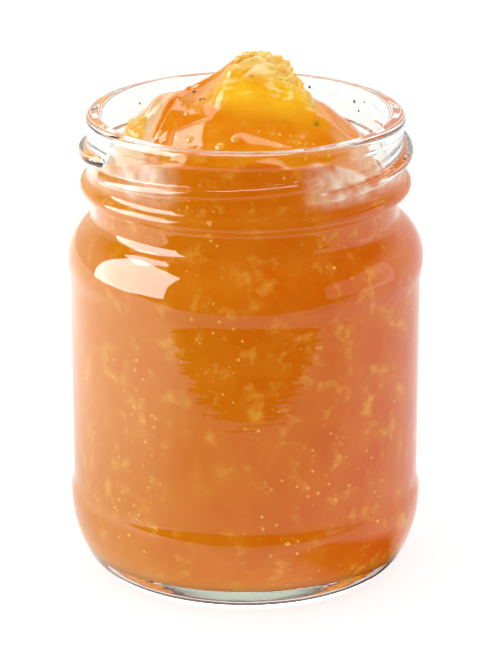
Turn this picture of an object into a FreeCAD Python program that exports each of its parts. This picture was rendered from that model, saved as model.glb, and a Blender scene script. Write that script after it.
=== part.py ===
"""Open glass jar of apricot jam: a four-lug jar filled to the neck, with a scoop of jam standing
in its mouth and two pieces of fruit on it.  Millimetres, +Z up, origin on the axis at the base."""
import FreeCAD, Part
import math
import os
import Sketcher

# ---------------------------------------------------------------- driving dimensions
# alias, value, what it is
SIZES = [
    ("jar_height", 92.0, "overall height of the glass"),
    ("body_radius", 35.0, "widest radius, at the shoulder and the lower bead"),
    ("panel_depth", 0.55, "how far the label panel is set back"),
    ("panel_wall", 2.25, "glass behind the label panel"),
    ("bead_level", 14.2, "height of the lower bead, where the heel ends"),
    ("panel_foot", 4.1, "height of the step from the lower bead to the panel"),
    ("panel_head", 4.7, "height of the step from the panel to the shoulder"),
    ("heel_width", 7.4, "from the bearing ring out to the body"),
    ("heel_round", 5.0, "tight round where the heel meets the bearing ring"),
    ("bearing_width", 5.6, "width of the flat ring that the jar stands on"),
    ("push_up", 1.8, "height of the hollow under the base"),
    ("base_thickness", 4.0, "glass between the bearing ring and the floor"),
    ("floor_round", 9.0, "inside round between the floor and the wall"),
    ("lip_radius", 31.1, "outside of the lip"),
    ("lip_land", 3.5, "thickness of the lip"),
    ("lip_height", 2.3, "height of the lip ring above the neck"),
    ("lip_ease", 1.3, "height of the step from the neck to the lip"),
    ("lip_outer_round", 1.3, "outside round of the lip"),
    ("lip_inner_round", 1.2, "inside round of the lip"),
    ("neck_inset", 0.3, "how far the neck lies inside the lip"),
    ("transfer_drop", 14.0, "from the lip down to the middle of the transfer bead"),
    ("transfer_depth", 1.6, "how far the transfer bead stands out from the neck"),
    ("transfer_head", 2.1, "height of the upper half of the transfer bead"),
    ("transfer_foot", 2.8, "height of the lower half of the transfer bead"),
    ("throat_inset", 1.0, "how far the throat lies inside the neck"),
    ("throat_height", 2.9, "height of the throat under the transfer bead"),
    ("throat_round", 2.0, "hollow round between the shoulder and the throat"),
    ("shoulder_ease", 4.15, "how much taller the shoulder is than wide"),
    ("shoulder_lag", 2.4, "how far the inside shoulder starts below the outside one"),
    ("bore_lead", 1.2, "how far the bore's foot lies above the shoulder's top"),
    ("lug_count", 4, "number of closure lugs"),
    ("lug_start", 20.0, "angle from +X to the start of the first lug"),
    ("lug_span", 100.0, "angle that a lug covers"),
    ("lug_rise", 3.3, "how far a lug climbs over its span"),
    ("lug_drop", 8.0, "from the lip down to the middle of a lug"),
    ("lug_depth", 1.85, "how far a lug stands out from the neck"),
    ("lug_tip", 1.1, "radius of a lug's rounded edge"),
    ("lug_root", 1.6, "half the height of a lug where it leaves the neck"),
    ("lug_bite", 2.2, "how far a lug's section reaches into the wall"),
    ("lug_fade", 0.4, "how far a lug's ends sink below the neck"),
    ("level_drop", 12.6, "from the lip down to the level of the jam at the wall"),
    ("scoop_rise", 24.4, "height of the scoop's top above that level"),
    ("scoop_x", 0.4, "scoop's top, to the right of the axis"),
    ("scoop_y", -3.3, "scoop's top, in front of the axis when negative"),
    ("scoop_left", 28.0, "reach of the scoop to the left"),
    ("scoop_right", 24.8, "reach of the scoop to the right"),
    ("scoop_front", 30.6, "reach of the scoop to the front"),
    ("scoop_back", 14.7, "reach of the scoop to the back"),
    ("scoop_fall", 0.8, "share of its height that the scoop loses by its rim"),
    ("scoop_rim", 0.3, "share of its reach over which the scoop's side falls away"),
    ("wave_height", 0.8, "height of the soft waves on the scoop"),
    ("wave_run", 3.6, "length of those waves, for one radian"),
    ("wave_crest", 19.0, "how far to the left of the axis one of them crests"),
    ("fruit_width", 24.0, "top fruit piece, from left to right"),
    ("fruit_length", 18.0, "top fruit piece, up the slope of the scoop"),
    ("fruit_thick", 6.4, "top fruit piece, through the middle"),
    ("fruit_tilt", 34.0, "slope of the top fruit piece from level, in degrees"),
    ("fruit_x", 3.2, "middle of the top fruit piece, to the right"),
    ("fruit_setback", 15.2, "from the front of the bore back to the middle of the top fruit piece"),
    ("fruit_top", 5.6, "middle of the top fruit piece, above the lip"),
    ("fruit_taper", 0.46, "share of its width that the top fruit piece loses by its upper end"),
    ("torn_lift", 1.0, "how far the torn edge stands off the top fruit piece"),
    ("torn_lump", 1.9, "radius of the lumps along the torn edge"),
    ("torn_count", 9, "number of lumps along the torn edge"),
    ("side_length", 9.0, "side fruit piece, along its longest way"),
    ("side_width", 7.0, "side fruit piece, across"),
    ("side_thick", 5.6, "side fruit piece, through"),
    ("side_tilt", 40.0, "slope of the side fruit piece from level, in degrees"),
    ("side_setback", 6.4, "from the bore in to the middle of the side fruit piece"),
    ("side_turn", 205.0, "angle from +X to the side fruit piece"),
    ("side_drop", 2.6, "from the lip down to the middle of the side fruit piece"),
]

# sizes worked out from the ones above: alias, formula, what it is
DERIVED = [
    ("panel_radius", "body_radius - panel_depth", "outside of the label panel"),
    ("cavity_radius", "panel_radius - panel_wall", "inside of the body"),
    ("bearing_radius", "body_radius - heel_width", "outside of the bearing ring"),
    ("bearing_inner", "bearing_radius - bearing_width", "inside of the bearing ring"),
    ("neck_radius", "lip_radius - neck_inset", "outside of the neck"),
    ("throat_radius", "neck_radius - throat_inset", "outside of the throat"),
    ("transfer_radius", "neck_radius + transfer_depth", "outside of the transfer bead"),
    ("bore_radius", "lip_radius - lip_land", "inside of the neck"),
    ("lip_level", "jar_height - lip_height", "bottom of the lip ring"),
    ("neck_top", "lip_level - lip_ease", "top of the plain neck"),
    ("transfer_level", "jar_height - transfer_drop", "middle of the transfer bead"),
    ("transfer_top", "transfer_level + transfer_head", "top of the transfer bead"),
    ("throat_top", "transfer_level - transfer_foot", "bottom of the transfer bead"),
    ("throat_level", "throat_top - throat_height", "bottom of the throat"),
    ("shoulder_width", "body_radius - throat_radius", "shoulder, measured across"),
    ("shoulder_height", "shoulder_width + shoulder_ease", "shoulder, measured up"),
    ("shoulder_level", "throat_level - shoulder_height", "where the shoulder starts"),
    ("panel_bottom", "bead_level + panel_foot", "bottom of the label panel"),
    ("panel_top", "shoulder_level - panel_head", "top of the label panel"),
    ("cavity_shoulder", "shoulder_level - shoulder_lag", "where the inside shoulder starts"),
    ("bore_bottom", "throat_level + bore_lead", "where the inside shoulder ends"),
    ("shoulder_sum", "(shoulder_width ^ 2 + shoulder_height ^ 2) / (2 * shoulder_width)",
     "the shoulder's two radii together"),
    ("shoulder_round", "shoulder_sum - throat_round", "outside round of the shoulder"),
    ("shoulder_share", "shoulder_round / shoulder_sum", "share of the shoulder in its round"),
    ("turn_radius", "body_radius - shoulder_share * shoulder_width", "where the shoulder turns"),
    ("turn_level", "shoulder_level + shoulder_share * shoulder_height", "height of that place"),
    ("heel_side", "((heel_width ^ 2 + (bead_level - heel_round) ^ 2) - heel_round ^ 2)"
     " / (2 * (heel_width - heel_round))", "long round of the heel"),
    ("heel_run", "heel_side - heel_width", "from the bearing ring in to that round's centre"),
    ("heel_share", "heel_round / (heel_side - heel_round)", "share that places the heel's turn"),
    ("heel_turn_x", "bearing_radius + heel_share * heel_run", "where the two heel rounds meet"),
    ("heel_turn_z", "heel_round - heel_share * (bead_level - heel_round)", "its height"),
    ("floor_radius", "cavity_radius - floor_round", "edge of the level floor"),
    ("floor_level", "base_thickness", "height of the floor"),
    ("floor_crown", "floor_level + push_up", "height of the floor on the axis"),
    ("wall_foot", "floor_level + floor_round", "where the straight inside wall starts"),
    ("lug_level", "jar_height - lug_drop", "middle height of a lug"),
    ("jam_level", "jar_height - level_drop", "level of the jam at the wall"),
    ("fruit_y", "fruit_setback - bore_radius", "middle of the top fruit piece, in front when negative"),
    ("side_reach", "bore_radius - side_setback", "distance of the side fruit piece from the axis"),
]

ABOVE_ALL = 20.0        # how far cutters and the fill run on above the lip
LUG_STATIONS = [0.0, 0.05, 0.12, 0.22, 0.36, 0.5, 0.64, 0.78, 0.88, 0.95, 1.0]
LUG_LEAD = 0.14         # share of a lug's span over which each end grows to full depth
SURFACE_CELLS = 26      # cells each way of the net that carries the jam's free surface
SCOOP_BLUNT = 0.06      # bluntness of the scoop's top, as a share of its reach
FRUIT_RINGS = 9         # sections along a fruit piece
FRUIT_POINTS = 18       # points round each of those sections
TORN_FIRST = 50.0       # where the torn edge starts, in degrees to the left of the piece's top
TORN_LAST = -118.0      # where it ends, to the right of the top


def make_sheet(doc):
    """Spreadsheet with every size under its own alias."""
    sheet = doc.addObject("Spreadsheet::Sheet", "Sizes")
    rows = [(alias, str(value), note) for alias, value, note in SIZES]
    rows += [(alias, "=" + formula, note) for alias, formula, note in DERIVED]
    for row, (alias, content, note) in enumerate(rows, start=1):
        sheet.set("A%d" % row, note)
        sheet.set("B%d" % row, content)
        sheet.setAlias("B%d" % row, alias)
    doc.recompute()
    return sheet


def origin_feature(body, role):
    """The body's own origin plane or axis that has this role."""
    for feature in body.Origin.OriginFeatures:
        if feature.Role == role:
            return feature
    raise ValueError("no origin feature " + role)


def arc_through(start, end, radius, side):
    """Arc of under half a turn from start to end, centre to the left of the way (+1) or right (-1)."""
    run_x = end[0] - start[0]
    run_y = end[1] - start[1]
    chord = math.hypot(run_x, run_y)
    offset = side * math.sqrt(max(radius ** 2 - chord ** 2 / 4, 0.0)) / chord
    centre_x = (start[0] + end[0]) / 2 - run_y * offset
    centre_y = (start[1] + end[1]) / 2 + run_x * offset
    first = math.atan2(start[1] - centre_y, start[0] - centre_x)
    last = math.atan2(end[1] - centre_y, end[0] - centre_x)
    if side < 0:
        first, last = last, first
    circle = Part.Circle(FreeCAD.Vector(centre_x, centre_y, 0), FreeCAD.Vector(0, 0, 1), radius)
    return Part.ArcOfCircle(circle, first, last)


def ogee(start, end, first_side):
    """Two equal arcs between two upright tangents: the corner in the middle and both edges."""
    middle = ["(%s + %s) / 2" % (start[axis], end[axis]) for axis in (0, 1)]
    width = "abs(%s - (%s))" % (start[0], end[0])
    height = "(%s - (%s))" % (start[1], end[1])
    radius = "(%s ^ 2 + %s ^ 2) / (4 * %s)" % (width, height, width)
    return [(start[0], start[1], (radius, first_side)), (middle[0], middle[1], (radius, -first_side))]


def outline(body, name, corners, offset=None):
    """Closed sketch on the body's XZ plane.  A corner is (x, z, edge): x and z are expressions, and
    edge, the way to the next corner, is None if straight or (radius expression, side) if round."""
    sketch = body.newObject("Sketcher::SketchObject", name)
    sketch.AttachmentSupport = (origin_feature(body, "XZ_Plane"), [""])
    sketch.MapMode = "FlatFace"
    if offset is not None:
        sketch.AttachmentOffset = offset
    places = [tuple(float(sketch.evalExpression(text)) for text in corner[:2]) for corner in corners]
    end_of = {}
    for index, corner in enumerate(corners):
        start = places[index]
        end = places[(index + 1) % len(corners)]
        if corner[2] is None:
            line = Part.LineSegment(FreeCAD.Vector(*start, 0), FreeCAD.Vector(*end, 0))
            edge = sketch.addGeometry(line, False)
            end_of[index] = (edge, 1, 2)
        else:
            radius, side = corner[2]
            arc = arc_through(start, end, float(sketch.evalExpression(radius)), side)
            edge = sketch.addGeometry(arc, False)
            end_of[index] = (edge, 1, 2) if side > 0 else (edge, 2, 1)
    for index, corner in enumerate(corners):
        edge, head, tail = end_of[index]
        next_edge, next_head, _ = end_of[(index + 1) % len(corners)]
        sketch.addConstraint(Sketcher.Constraint("Coincident", edge, tail, next_edge, next_head))
        for axis, kind, base in ((0, "DistanceX", -2), (1, "DistanceY", -1)):
            if corner[axis] == "0":
                sketch.addConstraint(Sketcher.Constraint("PointOnObject", edge, head, base))
                continue
            constraint = Sketcher.Constraint(kind, -1, 1, edge, head, places[index][axis])
            number = sketch.addConstraint(constraint)
            sketch.setExpression("Constraints[%d]" % number, corner[axis])
        if corner[2] is not None:
            value = float(sketch.evalExpression(corner[2][0]))
            number = sketch.addConstraint(Sketcher.Constraint("Radius", edge, value))
            sketch.setExpression("Constraints[%d]" % number, corner[2][0])
    return sketch


def size(alias):
    """Expression that reads one cell of the sheet."""
    return "Sizes." + alias


def outside_corners():
    """Half section of the glass with no cavity, from the base up to the lip."""
    panel_low = (size("panel_radius"), size("panel_bottom"))
    panel_high = (size("panel_radius"), size("panel_top"))
    body_low = (size("body_radius"), size("bead_level"))
    body_high = (size("body_radius"), size("shoulder_level"))
    throat_high = (size("throat_radius"), size("throat_top"))
    transfer = (size("transfer_radius"), size("transfer_level"))
    neck_low = (size("neck_radius"), size("transfer_top"))
    neck_high = (size("neck_radius"), size("neck_top"))
    lip_low = (size("lip_radius"), size("lip_level"))
    crown_radius = "(Sizes.bearing_inner ^ 2 + Sizes.push_up ^ 2) / (2 * Sizes.push_up)"
    return [
        ("0", size("push_up"), (crown_radius, -1)),
        (size("bearing_inner"), "0", None),
        (size("bearing_radius"), "0", (size("heel_round"), 1)),
        (size("heel_turn_x"), size("heel_turn_z"), (size("heel_side"), 1)),
        *ogee(body_low, panel_low, 1),
        (*panel_low, None),
        *ogee(panel_high, body_high, -1),
        (*body_high, (size("shoulder_round"), 1)),
        (size("turn_radius"), size("turn_level"), (size("throat_round"), -1)),
        (size("throat_radius"), size("throat_level"), None),
        *ogee(throat_high, transfer, -1),
        *ogee(transfer, neck_low, 1),
        (*neck_low, None),
        *ogee(neck_high, lip_low, -1),
        (*lip_low, None),
        (size("lip_radius"), "Sizes.jar_height - Sizes.lip_outer_round", (size("lip_outer_round"), 1)),
        ("Sizes.lip_radius - Sizes.lip_outer_round", size("jar_height"), None),
        ("0", size("jar_height"), None),
    ]


def cavity_corners(top_corners):
    """Half section of the inside, closed at the top by the corners given."""
    crown_radius = "(Sizes.floor_radius ^ 2 + Sizes.push_up ^ 2) / (2 * Sizes.push_up)"
    wall_high = (size("cavity_radius"), size("cavity_shoulder"))
    bore_low = (size("bore_radius"), size("bore_bottom"))
    return [
        ("0", size("floor_crown"), (crown_radius, -1)),
        (size("floor_radius"), size("floor_level"), (size("floor_round"), 1)),
        (size("cavity_radius"), size("wall_foot"), None),
        *ogee(wall_high, bore_low, 1),
        (*bore_low, None),
        *top_corners,
    ]


def turn_round(body, kind, name, sketch):
    """Revolution or groove of a half section about the body's upright axis."""
    feature = body.newObject(kind, name)
    feature.Profile = sketch
    feature.ReferenceAxis = (sketch, ["V_Axis"])
    feature.Angle = 360.0
    return feature


def lug_section(body, number, station):
    """Thumb-shaped section of a lug at one station along it."""
    share = math.sin(math.pi / 2 * min(1.0, min(station, 1.0 - station) / LUG_LEAD))
    peak = "(Sizes.neck_radius - Sizes.lug_fade + (Sizes.lug_depth + Sizes.lug_fade) * %.4f)" % share
    level = "(Sizes.lug_level + Sizes.lug_rise * (%.4f))" % (station - 0.5)
    tip = peak + " - Sizes.lug_tip"
    root = "Sizes.neck_radius - Sizes.lug_bite"
    corners = [
        (root, level + " - Sizes.lug_root", None),
        (tip, level + " - Sizes.lug_tip", (size("lug_tip"), 1)),
        (tip, level + " + Sizes.lug_tip", None),
        (root, level + " + Sizes.lug_root", None),
    ]
    turn = "Sizes.lug_start + Sizes.lug_span * %.4f" % station
    angle = float(body.evalExpression(turn))
    offset = FreeCAD.Placement(FreeCAD.Vector(), FreeCAD.Rotation(FreeCAD.Vector(0, 1, 0), angle))
    sketch = outline(body, "lug_section_%d" % number, corners, offset)
    sketch.setExpression("AttachmentOffset.Rotation.Angle", turn)
    return sketch


def make_glass(doc):
    """The jar: turned outside, turned cavity, and the lugs swept round the neck."""
    body = doc.addObject("PartDesign::Body", "jar_glass")
    turn_round(body, "PartDesign::Revolution", "outside", outline(body, "outside_section", outside_corners()))
    flare = "Sizes.bore_radius + Sizes.lip_inner_round"
    over = "Sizes.jar_height + %.1f" % ABOVE_ALL
    mouth = [
        (size("bore_radius"), "Sizes.jar_height - Sizes.lip_inner_round", (size("lip_inner_round"), -1)),
        (flare, size("jar_height"), None),
        (flare, over, None),
        ("0", over, None),
    ]
    turn_round(body, "PartDesign::Groove", "cavity", outline(body, "cavity_section", cavity_corners(mouth)))
    doc.recompute()
    sections = [lug_section(body, number, station) for number, station in enumerate(LUG_STATIONS)]
    lug = body.newObject("PartDesign::AdditiveLoft", "lug")
    lug.Profile = sections[0]
    lug.Sections = sections[1:]
    lug.Ruled = False
    doc.recompute()
    lugs = body.newObject("PartDesign::PolarPattern", "lugs")
    lugs.Originals = [lug]
    lugs.Axis = (origin_feature(body, "Z_Axis"), [""])
    lugs.Angle = 360.0
    lugs.setExpression("Occurrences", size("lug_count"))
    body.Tip = lugs
    return body


def scoop_height(sheet, x, y):
    """Height of the jam's free surface: a scoop that slumps to the front, with soft unevenness."""
    across = x - sheet.scoop_x
    along = y - sheet.scoop_y
    reach_x = sheet.scoop_right if across > 0 else sheet.scoop_left
    reach_y = sheet.scoop_back if along > 0 else sheet.scoop_front
    away = math.hypot(across / reach_x, along / reach_y)
    cone = 1.0 - sheet.scoop_fall * (math.hypot(away, SCOOP_BLUNT) - SCOOP_BLUNT)
    side = min(1.0, max(0.0, (1.0 + sheet.scoop_rim / 2 - away) / sheet.scoop_rim))
    side = side * side * (3.0 - 2.0 * side)
    long_wave = sheet.wave_height * math.cos((x + sheet.wave_crest) / sheet.wave_run) * math.cos(along / 5.0)
    short_wave = 0.3 * sheet.wave_height * math.sin((x + y) / 2.3)
    calm = 0.3 + 0.7 * side
    return sheet.jam_level + sheet.scoop_rise * cone * side + calm * (long_wave + short_wave)


def make_surface_block(doc, sheet):
    """Everything below the jam's free surface, as one block wider than the jar."""
    half = sheet.body_radius + 1.0
    step = 2.0 * half / SURFACE_CELLS
    lines = [-half + step * number for number in range(SURFACE_CELLS + 1)]
    net = [[FreeCAD.Vector(x, y, scoop_height(sheet, x, y)) for y in lines] for x in lines]
    surface = Part.BSplineSurface()
    surface.interpolate(net)
    block = doc.addObject("Part::Feature", "below_surface")
    block.Shape = surface.toShape().extrude(FreeCAD.Vector(0, 0, -1.5 * sheet.jar_height))
    return block


def make_fill(doc):
    """What the cavity holds, run on above the lip so that the free surface can cut it."""
    body = doc.addObject("PartDesign::Body", "fill")
    over = "Sizes.jar_height + %.1f" % ABOVE_ALL
    corners = cavity_corners([(size("bore_radius"), over, None), ("0", over, None)])
    turn_round(body, "PartDesign::Revolution", "fill_turned", outline(body, "fill_section", corners))
    return body


def soft_lump(half_length, half_width, half_thick, taper, wave):
    """Rounded uneven lump along X, narrower towards +X, lofted through closed sections."""
    wires = []
    for ring in range(FRUIT_RINGS):
        share = -0.985 + 1.97 * ring / (FRUIT_RINGS - 1)
        girth = (1.0 - abs(share) ** 2.4) ** 0.5
        width = girth * tapered(taper, share)
        points = []
        for number in range(FRUIT_POINTS):
            turn = 2.0 * math.pi * number / FRUIT_POINTS
            swell = 1.0 + wave * math.sin(3.0 * turn + 2.0 * share) + wave * math.cos(2.0 * turn - 4.0 * share)
            points.append(FreeCAD.Vector(
                half_length * share,
                half_width * width * swell * math.cos(turn),
                half_thick * girth * swell * math.sin(turn)))
        curve = Part.BSplineCurve()
        curve.interpolate(points, PeriodicFlag=True)
        wires.append(Part.Wire([curve.toShape()]))
    return Part.makeLoft(wires, True)


def tapered(taper, share):
    """Share of the full width that is left at a place between the wide end (-1) and the other (1)."""
    return 1.0 - taper * (share + 1.0) / 2.0


def make_top_fruit(doc, sheet):
    """Large piece of apricot lying up the front of the scoop, torn along its top and right edges."""
    half_length = sheet.fruit_length / 2
    half_width = sheet.fruit_width / 2
    shape = soft_lump(half_length, half_width, sheet.fruit_thick / 2, sheet.fruit_taper, 0.05)
    lumps = []
    count = int(sheet.torn_count)
    for number in range(count):
        turn = math.radians(TORN_FIRST + (TORN_LAST - TORN_FIRST) * number / (count - 1))
        radius = sheet.torn_lump * (1.0 + 0.2 * math.sin(2.4 * number + 1.0))
        lump = Part.makeSphere(radius)
        lump.rotate(FreeCAD.Vector(), FreeCAD.Vector(1.0, 0.3, 0.2), 37.0 + 20.0 * number)
        share = math.cos(turn)
        lump.translate(FreeCAD.Vector(
            half_length * 0.95 * share,
            half_width * 0.92 * tapered(sheet.fruit_taper, share) * math.sin(turn),
            sheet.torn_lift * (0.5 + share / 2)))
        lumps.append(lump)
    fruit = doc.addObject("Part::Feature", "apricot_piece")
    fruit.Shape = shape.fuse(lumps)
    place = FreeCAD.Vector(sheet.fruit_x, sheet.fruit_y, sheet.jar_height + sheet.fruit_top)
    lean = FreeCAD.Rotation(FreeCAD.Vector(1, 0, 0), sheet.fruit_tilt)
    upward = FreeCAD.Rotation(FreeCAD.Vector(0, 0, 1), 90.0)
    fruit.Placement = FreeCAD.Placement(place, lean.multiply(upward))
    return fruit


def make_side_fruit(doc, sheet):
    """Smaller piece of apricot at the left of the scoop, against the neck."""
    fruit = doc.addObject("Part::Feature", "apricot_piece_left")
    fruit.Shape = soft_lump(sheet.side_length / 2, sheet.side_width / 2, sheet.side_thick / 2, 0.0, 0.06)
    turn = math.radians(sheet.side_turn)
    place = FreeCAD.Vector(
        sheet.side_reach * math.cos(turn),
        sheet.side_reach * math.sin(turn),
        sheet.jar_height - sheet.side_drop)
    outward = FreeCAD.Rotation(FreeCAD.Vector(0, 0, 1), sheet.side_turn + 90.0)
    lean = FreeCAD.Rotation(FreeCAD.Vector(0, 1, 0), sheet.side_tilt)
    fruit.Placement = FreeCAD.Placement(place, outward.multiply(lean))
    return fruit


def combine(doc, kind, label, base, tool):
    """Boolean of two objects of the document, with its faces left as they are cut."""
    result = doc.addObject(kind, label)
    result.Base = base
    result.Tool = tool
    result.Refine = False
    return result


def check(doc, parts):
    """Stops before anything is written if an object failed or a sub-part has no sound shape."""
    for item in doc.Objects:
        if "Invalid" in item.State or "Error" in item.State:
            raise RuntimeError("failed: " + item.Name + " " + str(item.State))
    for part in parts:
        shape = part.Shape
        if shape.isNull() or not shape.isValid() or len(shape.Solids) != 1:
            raise RuntimeError("unsound shape: %s, %d solids" % (part.Label, len(shape.Solids)))


def main():
    doc = FreeCAD.newDocument("apricot_jam_jar")
    sheet = make_sheet(doc)
    glass = make_glass(doc)
    fill = make_fill(doc)
    block = make_surface_block(doc, sheet)
    heap = combine(doc, "Part::Common", "heap", fill, block)
    side_fruit = make_side_fruit(doc, sheet)
    top_fruit = make_top_fruit(doc, sheet)
    heap_cut = combine(doc, "Part::Cut", "heap_cut", heap, top_fruit)
    jam = combine(doc, "Part::Cut", "jam", heap_cut, side_fruit)
    doc.recompute()
    parts = [glass, jam, top_fruit, side_fruit]
    check(doc, parts)
    os.makedirs("parts", exist_ok=True)
    for part in parts:
        part.Shape.exportStep("parts/%s.step" % part.Label)
        print("%s: %.1f cm3" % (part.Label, part.Shape.Volume / 1000.0))


main()
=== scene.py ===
"""An open glass jar heaped with apricot jam: the finished looks of the glass, the jam and the fruit.

Lengths are written in millimetres and multiplied by MM, because the frame is in metres.
"""

import math
import random

import bpy
import numpy as np
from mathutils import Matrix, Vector, noise


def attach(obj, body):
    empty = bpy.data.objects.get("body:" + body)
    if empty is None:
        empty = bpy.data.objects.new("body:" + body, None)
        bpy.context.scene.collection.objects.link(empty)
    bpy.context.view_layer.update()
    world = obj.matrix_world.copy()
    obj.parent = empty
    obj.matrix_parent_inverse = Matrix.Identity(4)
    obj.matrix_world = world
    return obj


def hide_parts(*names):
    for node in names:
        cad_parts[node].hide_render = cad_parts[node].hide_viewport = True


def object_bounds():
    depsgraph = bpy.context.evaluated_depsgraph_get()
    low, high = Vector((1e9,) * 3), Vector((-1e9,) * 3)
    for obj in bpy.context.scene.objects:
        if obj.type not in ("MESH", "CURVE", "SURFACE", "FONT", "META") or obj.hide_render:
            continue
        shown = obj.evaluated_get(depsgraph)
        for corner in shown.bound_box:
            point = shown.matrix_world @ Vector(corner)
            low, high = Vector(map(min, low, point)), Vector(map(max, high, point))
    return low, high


MM = 0.001
FULL_TURN = 2.0 * math.pi
# points closer than WELD become one; HAIR is the room left when points are told apart by their place
WELD = 0.001 * MM
HAIR = 0.05

# the jar's own sizes, as in the part
JAR_HEIGHT = 92.0
PUSH_UP = 1.8
BEARING_INNER = 22.0
BEARING_OUTER = 27.6
HEEL_ROUND = 5.0
HEEL_SIDE = 23.83
BODY_RADIUS = 35.0
BEAD_LEVEL = 14.2
PANEL_RADIUS = 34.45
PANEL_BOTTOM = 18.3
PANEL_TOP = 58.25
SHOULDER_LEVEL = 62.95
SHOULDER_ROUND = 9.0
THROAT_RADIUS = 29.8
THROAT_LEVEL = 72.3
THROAT_TOP = 75.2
THROAT_ROUND = 2.0
TRANSFER_RADIUS = 32.4
TRANSFER_LEVEL = 78.0
NECK_RADIUS = 30.8
NECK_BOTTOM = 80.1
NECK_TOP = 88.4
LIP_RADIUS = 31.1
LIP_LEVEL = 89.7
LIP_OUTER_ROUND = 1.3
LIP_INNER_ROUND = 1.2
BORE_RADIUS = 27.6
BORE_BOTTOM = 73.5
CAVITY_RADIUS = 32.2
CAVITY_SHOULDER = 60.55
FLOOR_ROUND = 9.0
FLOOR_RADIUS = 23.2
FLOOR_LEVEL = 4.0
LUG_COUNT = 4
LUG_START = math.radians(20.0)
LUG_SPAN = math.radians(100.0)
LUG_LEVEL = 84.0
LUG_RISE = 3.3
LUG_DEPTH = 1.85
LUG_TIP = 1.1
LUG_ROOT = 1.6
LUG_BITE = 2.2
LUG_FADE = 0.4
LUG_LEAD = 0.14

# the jam and its scoop, as in the part
JAM_LEVEL = 79.4
JAM_OVERLAP = 0.15
SCOOP_PLACE = (0.4, -3.3)
SCOOP_RISE = 24.4
SCOOP_REACH = {"left": 28.0, "right": 24.8, "front": 30.6, "back": 14.7}
SCOOP_FALL = 0.8
SCOOP_RIM = 0.3
SCOOP_BLUNT = 0.06
WAVE_HEIGHT = 0.8
WAVE_ACROSS = 3.6
WAVE_ALONG = 5.0
WAVE_SHIFT = 19.0
RIPPLE_HEIGHT = 0.24
RIPPLE_LENGTH = 2.3
WAVE_AT_WALL = 0.3

# the soft noise: how far each seed moves it, how fast its finer lumps fade, and how much finer they are
LUMPS_APART = (17.3, 9.1, 5.7)
LUMPS_FADE = 0.9
LUMPS_FINER = 2.1

# how finely the round pieces are divided
AROUND_GLASS = 320
AROUND_JAM = 384
MIDDLE_STEPS = 12
JAM_RINGS = 96


# ---------------------------------------------------------------- shaping helpers


def start_clean():
    """Object mode with nothing selected, so that the next operator acts on one piece only."""
    if bpy.context.mode != "OBJECT":
        bpy.ops.object.mode_set(mode="OBJECT")
    bpy.ops.object.select_all(action="DESELECT")


def pick(*pieces):
    """Selects these pieces, the last of them active."""
    start_clean()
    for piece in pieces:
        piece.select_set(True)
    bpy.context.view_layer.objects.active = pieces[-1]


def settle(piece):
    """Puts the piece's place, turn and size into its mesh."""
    pick(piece)
    bpy.ops.object.transform_apply(location=True, rotation=True, scale=True)


def grown_together(name, pieces):
    """Joins the pieces into one object of this name, shaded smooth."""
    pick(*pieces)
    bpy.ops.object.join()
    piece = bpy.context.object
    piece.name = name
    bpy.ops.object.shade_smooth()
    return piece


def arc(centre, radius, start, end, steps):
    """Points of an arc in the half section, by its angles in degrees."""
    points = []
    for step in range(steps + 1):
        angle = math.radians(start + (end - start) * step / steps)
        points.append((centre[0] + radius * math.cos(angle), centre[1] + radius * math.sin(angle)))
    return points


def ogee(low, high, steps):
    """Points of an S of two equal arcs, upright at both ends."""
    points = []
    across = abs(high[0] - low[0])
    along = abs(high[1] - low[1])
    radius = (across**2 + along**2) / (4.0 * across)
    for step in range(steps + 1):
        share = step / steps
        half = min(share, 1.0 - share)
        bow = radius - math.sqrt(radius**2 - (half * along) ** 2)
        out = bow if share < 0.5 else across - bow
        points.append((low[0] + math.copysign(out, high[0] - low[0]), low[1] + share * (high[1] - low[1])))
    return points


def straight(start, end, steps):
    """Points along a straight run of the half section, without its first."""
    runs = range(1, steps + 1)
    return [tuple(a + (b - a) * step / steps for a, b in zip(start, end)) for step in runs]


def dome(radius, rise, level):
    """Points of a shallow dome from the axis outwards, without its rim, which lies at this level."""
    crown = (radius**2 + rise**2) / (2.0 * rise)
    points = []
    for step in range(MIDDLE_STEPS):
        reach = radius * step / MIDDLE_STEPS
        points.append((reach, level + rise - crown + math.sqrt(crown**2 - reach**2)))
    return points


def turned(name, section, around):
    """A half section drawn point by point by extrusion, then spun once round the upright axis."""
    start_clean()
    bpy.ops.mesh.primitive_plane_add(size=MM)
    piece = bpy.context.object
    piece.name = name
    bpy.ops.object.mode_set(mode="EDIT")
    bpy.ops.mesh.merge(type="CENTER")
    bpy.ops.transform.translate(value=(section[0][0] * MM, 0.0, section[0][1] * MM))
    for before, after in zip(section, section[1:]):
        step = ((after[0] - before[0]) * MM, 0.0, (after[1] - before[1]) * MM)
        bpy.ops.mesh.extrude_region_move(TRANSFORM_OT_translate={"value": step})
    bpy.ops.mesh.select_all(action="SELECT")
    bpy.ops.mesh.spin(steps=around, angle=FULL_TURN, center=(0, 0, 0), axis=(0, 0, 1))
    bpy.ops.mesh.select_all(action="SELECT")
    bpy.ops.mesh.remove_doubles(threshold=WELD)
    bpy.ops.mesh.normals_make_consistent(inside=False)
    bpy.ops.object.mode_set(mode="OBJECT")
    bpy.ops.object.shade_smooth()
    return piece


def points_of(piece):
    """The piece's vertices in millimetres, one row each."""
    flat = np.zeros(len(piece.data.vertices) * 3)
    piece.data.vertices.foreach_get("co", flat)
    return flat.reshape(-1, 3) / MM


def put_points(piece, points):
    """Moves the piece's vertices to these places in millimetres."""
    piece.data.vertices.foreach_set("co", (points * MM).ravel())
    piece.data.update()


def mark(piece, name, values):
    """Keeps one number for each vertex, for the piece's material to read."""
    layer = piece.data.attributes.new(name, "FLOAT", "POINT")
    layer.data.foreach_set("value", np.asarray(values, dtype=float))


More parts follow.
